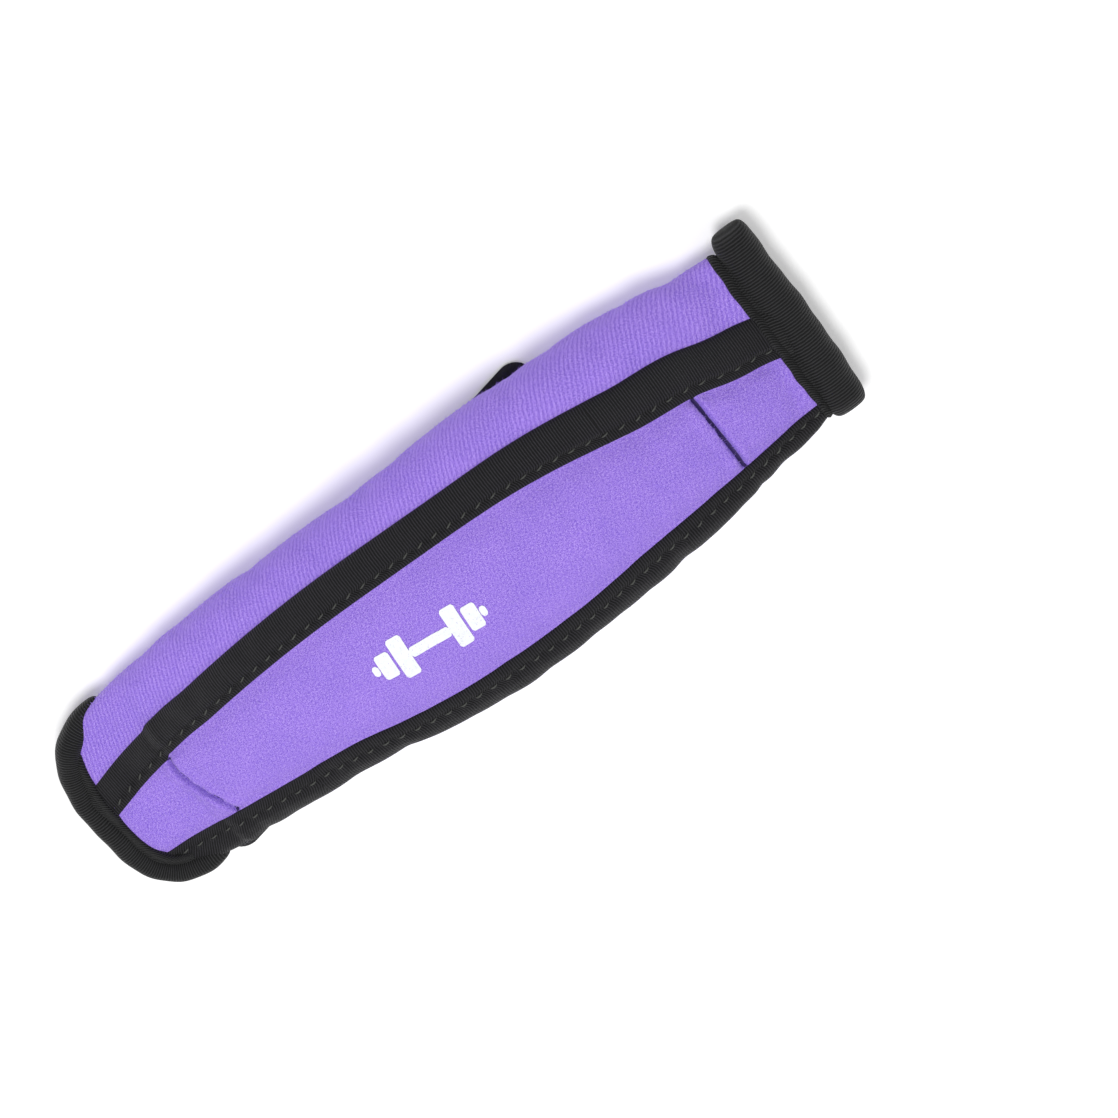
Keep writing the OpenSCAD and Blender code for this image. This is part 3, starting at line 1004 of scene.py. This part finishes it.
def build_end_bindings():
    y = np.linspace(-END_W - 2.4, END_W + 2.4, 170)
    path = np.stack([HALF_L - 0.6 + 0.02 * y + 0.4 * np.sin(y / 11.0 + 2.0), y], 1)
    inward = np.tile([-1.0, 0.0], (len(y), 1))
    roll = box_mm("end_binding_right")
    sweep_binding("end_roll_right", "right_tab", ["end_binding_right"], path, inward,
                  HALF_L - ROLL_X, (roll[0][2], roll[1][2] + 0.4), 6.5, 3)
    flange_right()
    t = np.radians(np.linspace(-90, 90, 400))
    n = np.where(t < 0, 2.5, 2.9)
    px = LEFT_ROUND_X - (LEFT_ROUND_L + 1.3) * oval(np.cos(t), n)
    py = -(END_W + 1.8) * oval(np.sin(t), n)
    px -= 0.02 * np.maximum(py, 0) * np.cos(t)
    run = np.concatenate([[0], np.cumsum(np.hypot(np.diff(px), np.diff(py)))])
    even = np.linspace(0, run[-1], 260)
    path = np.stack([np.interp(even, run, px), np.interp(even, run, py)], 1)
    tangent = unit(np.gradient(path, axis=0))
    inward = np.stack([tangent[:, 1], -tangent[:, 0]], 1)
    inward *= np.sign(((np.array([LEFT_ROUND_X + 20, 0]) - path) * inward).sum(1))[:, None]
    rim = box_mm("end_binding_left")
    sweep_binding("end_roll_left", "left_tab", ["end_binding_left"], path, inward,
                  LEFT_RIM_W - 1.8, (rim[0][2], rim[1][2] + 1.0), 9.0, 5, tuck=0.75)
    for under in (False, True):
        flange_left(path[46:-16], inward[46:-16], LEFT_RIM_W + 0.1, 2.8, under)


# ---------------------------------------------------------------- strap and hook tape
strap_boxes = [box_mm(f"strap_{part}") for part in ("right", "core", "left", "flap", "tip")]
STRAP_T = box_mm("strap_core")[1][2]
HOOK_TOP = box_mm("hook_tape_flap")[1][2]
STRAP_SKEW = math.radians(11.5)
STRAP_L, STRAP_W, STRAP_R = 196.0, 49.5, 7.0
STRAP_MID_X = (min(lo[0] for lo, _ in strap_boxes) + max(hi[0] for _, hi in strap_boxes)) / 2
HOOK_L = 52.0


def strap_frame(length, width, radius, shift):
    """Outline of a rounded rectangle on the skewed strap, as lowest and highest y at each x."""
    c, s = math.cos(STRAP_SKEW), math.sin(STRAP_SKEW)
    corner = np.radians(np.linspace(0, 90, 13))
    points = []
    for sx, sy, turn in ((1, 1, 0), (-1, 1, 90), (-1, -1, 180), (1, -1, 270)):
        a = corner + math.radians(turn)
        points.append(
            np.stack([sx * (length / 2 - radius) + radius * np.cos(a),
                      sy * (width / 2 - radius) + radius * np.sin(a)], 1)
        )
    p = np.concatenate(points)
    p = np.concatenate([p, p[:1]])
    p = p + (shift, 0)
    x = STRAP_MID_X + p[:, 0] * c - p[:, 1] * s
    y = p[:, 0] * s + p[:, 1] * c
    return x, y


def outline_span(x, ox, oy):
    """Lowest and highest y of a closed outline at x."""
    hits = []
    for k in range(len(ox) - 1):
        a, b = ox[k], ox[k + 1]
        if (a - x) * (b - x) <= 0 and a != b:
            hits.append(oy[k] + (oy[k + 1] - oy[k]) * (x - a) / (b - a))
    return min(hits), max(hits)


def slab(name, outline, x0, x1, z0, z1, material, edge=0.5):
    """Flat cloth slab between two stations, with rounded edges and a closed underside."""
    ox, oy = outline
    x0, x1 = max(x0, ox.min() + 0.02), min(x1, ox.max() - 0.02)
    steps = max(3, int((x1 - x0) / 1.2))
    t = np.linspace(0, 1, steps + 1)
    if x0 <= ox.min() + 0.03:
        t = np.concatenate([[0, 0.004, 0.012, 0.025, 0.05], t[1:]])
    if x1 >= ox.max() - 0.03:
        t = np.unique(np.concatenate([t[:-1], [0.95, 0.975, 0.988, 0.996, 1]]))
    xs = x0 + (x1 - x0) * np.unique(t)
    cols = 36
    w = np.linspace(0, 1, cols)
    h = (z1 - z0) / 2
    mid = (z0 + z1) / 2
    c, s = math.cos(STRAP_SKEW), math.sin(STRAP_SKEW)
    top, under = [], []
    for x in xs:
        lo, hi = outline_span(x, ox, oy)
        y = lo + (hi - lo) * w
        rim = np.minimum(np.minimum(y - lo, hi - y), min(x - ox.min(), ox.max() - x))
        k = np.clip(rim / edge, 0, 1)
        lift = h * np.sqrt(np.maximum(0.0, 1 - (1 - k) ** 2))
        top.append(np.stack([np.full(cols, x), y, mid + lift], 1))
        under.append(np.stack([np.full(cols, x), y, mid - lift], 1))
    top, under = np.array(top), np.array(under)
    ring = np.concatenate([top, under[:, ::-1]], 1)
    n, m = ring.shape[:2]
    local_u = (ring[..., 0] - STRAP_MID_X) * c + ring[..., 1] * s
    local_v = -(ring[..., 0] - STRAP_MID_X) * s + ring[..., 1] * c
    uv = np.stack([local_u, local_v], -1)
    faces = [tuple(reversed([int(v) for v in f])) for f in quads(n, m, closed=True)]
    for row, flip in ((0, False), (n - 1, True)):
        for j in range(cols - 1):
            a, b = row * m + j, row * m + j + 1
            d, e = row * m + (m - 1 - j), row * m + (m - 2 - j)
            faces.append((a, b, e, d) if flip else (d, e, b, a))
    return make_object(name, ring, faces, material, uv)


def build_strap():
    outline = strap_frame(STRAP_L, STRAP_W, STRAP_R, 0)
    pieces = (
        ("strap_sewn_end", 0.0, 200.0, "right", ("strap_right",)),
        ("strap_middle", PEEL_X, 0.0, "left", ("strap_core", "strap_left")),
    )
    for name, x0, x1, part, nodes in pieces:
        obj = slab(name, outline, x0, x1, 0.0, STRAP_T, STRAP_MAT)
        bend(obj)
        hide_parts(*nodes)
    z_hook = STRAP_T - 0.1
    hook_outline = strap_frame(HOOK_L, STRAP_W - 3, STRAP_R - 1.5, -STRAP_L / 2 + 1.5 + HOOK_L / 2)
    fold = PEEL_X - 8
    zones = (
        ("fold", fold, PEEL_X, "left_wing", "strap_flap", PEEL_X, fold, ("strap_flap",), ("hook_tape_flap",)),
        ("tip", -200.0, fold, "strap_flap", "strap_tip", -84.0, -122.0, ("strap_tip",), ("hook_tape_tip",)),
    )
    for name, x0, x1, a, b, start, end, strap_nodes, hook_nodes in zones:
        cloth = slab(f"strap_cloth_{name}", outline, x0, x1, 0.0, STRAP_T, STRAP_MAT)
        hooks = slab(f"hook_strip_{name}", hook_outline, x0, x1, z_hook, HOOK_TOP, HOOK_MAT, edge=0.4)
        for obj, slot, nodes in ((cloth, "strap_webbing", strap_nodes), (hooks, "hook_tape", hook_nodes)):
            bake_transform(obj)
            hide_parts(*nodes)


def thread_line(points, ups, pitch, length, radius, arch):
    """Stitches spaced along a path."""
    run = distance_along(points)
    at = np.arange(pitch / 2, run[-1], pitch)

    def spot(run_at):
        return np.stack([np.interp(run_at, run, points[:, k]) for k in range(3)], 1)

    up = np.tile(ups, (len(at), 1)).astype(float)
    return stitch_mesh(spot(at), unit(spot(at + 0.5) - spot(at - 0.5)), up, length, radius, arch)


def build_strap_stitches():
    """The box of stitches at the strap's sewn end, seen from below."""
    lo, hi = box_mm("strap_stitching")
    c, s = math.cos(STRAP_SKEW), math.sin(STRAP_SKEW)
    centre = np.array([(lo[0] + hi[0]) / 2, (lo[1] + hi[1]) / 2])
    half_u, half_v = 5.0, 18.0

    def spot(u, v):
        return [centre[0] + u * c - v * s, centre[1] + u * s + v * c, 0.05]

    corners = [(-half_u, -half_v), (half_u, -half_v), (half_u, half_v), (-half_u, half_v), (-half_u, -half_v)]
    lines = [corners, [(-half_u, -half_v), (half_u, half_v)], [(-half_u, half_v), (half_u, -half_v)]]
    all_points, all_faces, all_uv = [], [], []
    for line in lines:
        points = np.array([spot(*p) for p in line])
        pts, faces, uv = thread_line(points, (0, 0, -1), 2.6, 2.1, 0.28, 0.12)
        base = sum(len(p) for p in all_points)
        all_points.append(pts)
        all_uv.append(uv)
        all_faces += [tuple(int(i) + base for i in f) for f in faces]
    points, uv = np.concatenate(all_points), np.concatenate(all_uv)
    obj = make_object("strap_box_stitches", points, all_faces, THREAD_MAT, uv)
    bend(obj)
    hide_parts("strap_stitching")


# ---------------------------------------------------------------- printed mark
def build_mark():
    """Generic dumbbell symbol, printed on the pocket cover."""
    lo, hi = box_mm("weight_mark")
    centre = (lo[:2] + hi[:2]) / 2
    length, height, lean = 43.0, 16.0, math.radians(-6)
    plate, bar = length / 8, height / 4

    def rect(cx, w, h):
        return (cx - w / 2, cx + w / 2, -h / 2, h / 2)

    shapes = [rect(0, length - 5.2 * plate, bar)]
    for side in (-1, 1):
        shapes.append(rect(side * (length / 2 - 2.1 * plate), plate, height))
        shapes.append(rect(side * (length / 2 - 0.95 * plate), plate * 0.95, height * 0.62))
        shapes.append(rect(side * (length / 2 - 0.22 * plate), plate * 0.42, bar))
    points, faces, uvs = [], [], []
    base = 0
    step = 0.45
    for x0, x1, y0, y1 in shapes:
        r = min(1.0, (x1 - x0) / 2.2, (y1 - y0) / 2.2)
        us = np.linspace(x0, x1, max(4, int((x1 - x0) / step)))
        rows = []
        for u in us:
            d = min(u - x0, x1 - u)
            cut = r - math.sqrt(max(0.0, r * r - (r - d) ** 2)) if d < r else 0.0
            rows.append(np.stack([np.full(24, u), np.linspace(y0 + cut, y1 - cut, 24)], 1))
        g = np.array(rows)
        gx = centre[0] + g[..., 0] * math.cos(lean) - g[..., 1] * math.sin(lean)
        gy = centre[1] + g[..., 0] * math.sin(lean) + g[..., 1] * math.cos(lean)
        p, _ = on_skin(gx, skin_q(gx, gy), 0.16)
        n, m = p.shape[:2]
        points.append(p.reshape(-1, 3))
        uvs.append(np.stack([gx, gy], -1).reshape(-1, 2))
        faces += [tuple(int(v) + base for v in f[::-1]) for f in quads(n, m)]
        base += n * m
    obj = make_object("dumbbell_print", np.concatenate(points), faces, PRINT_MAT, np.concatenate(uvs))
    bend(obj)
    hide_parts("weight_mark")


# ---------------------------------------------------------------- nap of the fleece
def build_nap():
    """Short stray fibres that stand out of the brushed fleece."""
    count = 42000
    for part in BENDS:
        lo, hi = max(BENDS[part][0], XS[0] + 8), min(BENDS[part][1], ROLL_X - 3)
        share = int(count * (hi - lo) / (2 * HALF_L))
        x = rng.uniform(lo, hi, share)
        on_shell = rng.random(share) < 0.72
        q = np.where(on_shell, rng.uniform(-1.2, 0.97, share), rng.uniform(2.03, 2.97, share)) % 6
        root, up = on_skin(x, q, -0.05)
        tilt = rng.standard_normal((share, 3)) * 0.55
        direction = unit(up + tilt)
        length = rng.uniform(0.4, 1.25, share)[:, None]
        side = unit(np.cross(direction, rng.standard_normal((share, 3))))
        w = 0.075
        pts = np.stack([root - side * w, root + side * w, root + direction * length], 1).reshape(-1, 3)
        faces = np.arange(len(pts)).reshape(-1, 3)
        obj = make_object(f"fleece_nap_{part}", pts, faces, NAP_MAT, pts[:, :2])
        bend(obj)


def nap_material():
    g = Graph("fleece_nap")
    tone = g.noise(g.uv(), 0.9, 2.0, 0.6)
    g.color(g.ramp(tone, [(0.3, PURPLE), (0.7, PURPLE_PALE)]))
    g.set(Roughness=1.0, Sheen_Weight=0.3, Specular_IOR_Level=0.1)
    return g.mat


NAP_MAT = nap_material()


# ---------------------------------------------------------------- stage
def build_stage():
    size = 3.0
    pts = np.array([(-size, -size, 0), (size, -size, 0), (size, size, 0), (-size, size, 0)]) / MM
    g = Graph("studio_floor")
    cloud = g.noise(g.add("ShaderNodeTexCoord").outputs["Object"], 3.0)
    g.color(g.ramp(cloud, [(0.3, (0.93, 0.93, 0.93)), (0.7, (0.95, 0.95, 0.95))]))
    g.set(Roughness=0.9, Specular_IOR_Level=0.1, Emission_Color=(1, 1, 1, 1), Emission_Strength=0.22)
    floor = make_object("studio_floor", pts - (0, 0, 0.4), [(0, 1, 2, 3)], g.mat)
    world = bpy.data.worlds.new("studio")
    bpy.context.scene.world = world
    world.use_nodes = True
    back = world.node_tree.nodes["Background"]
    back.inputs["Color"].default_value = (1, 1, 1, 1)
    back.inputs["Strength"].default_value = 0.42


def area_light(name, place, size, power, target=(0, 0, 0.01)):
    data = bpy.data.lights.new(name, "AREA")
    data.shape, data.size, data.energy = "DISK", size, power
    obj = bpy.data.objects.new(name, data)
    obj.location = place
    obj.rotation_euler = (Vector(target) - Vector(place)).to_track_quat("-Z", "Y").to_euler()
    bpy.context.scene.collection.objects.link(obj)


def build_lights():
    area_light("key", (-0.35, 0.05, 1.6), 0.7, 16)
    area_light("fill", (0.8, -0.9, 1.1), 1.2, 3.5)
    bpy.context.scene.view_settings.view_transform = "Standard"


def build_camera():
    """Looks down on the front, from the +Y side and a little from the right end, rolled so
    that the cuff runs up to the right across the picture."""
    tilt_y, tilt_x, roll = math.radians(20), math.radians(8), math.radians(36)
    upright = math.cos(tilt_x)
    toward = Vector((math.sin(tilt_x), math.sin(tilt_y) * upright, math.cos(tilt_y) * upright))
    along = Vector((1, 0, 0))
    along = (along - toward * along.dot(toward)).normalized()
    across = toward.cross(along)
    right = math.cos(roll) * along - math.sin(roll) * across
    up = math.sin(roll) * along + math.cos(roll) * across
    field, distance = 0.3756, 1.3
    aim = Vector((0, 0, 0.008)) + along * 0.0323 - across * 0.0203
    data = bpy.data.cameras.new("camera")
    data.sensor_width = 36
    data.lens = 36 * distance / field
    data.clip_end = 20
    cam = bpy.data.objects.new("camera", data)
    basis = Matrix((right, up, toward)).transposed().to_4x4()
    cam.matrix_world = Matrix.Translation(aim + toward * distance) @ basis
    bpy.context.scene.collection.objects.link(cam)
    bpy.context.scene.camera = cam


build_skin_pieces()
build_pocket_seams()
build_tapes()
build_end_bindings()
build_strap()
build_strap_stitches()
build_mark()
build_nap()
build_stage()
build_lights()
build_camera()

bpy.context.view_layer.update()
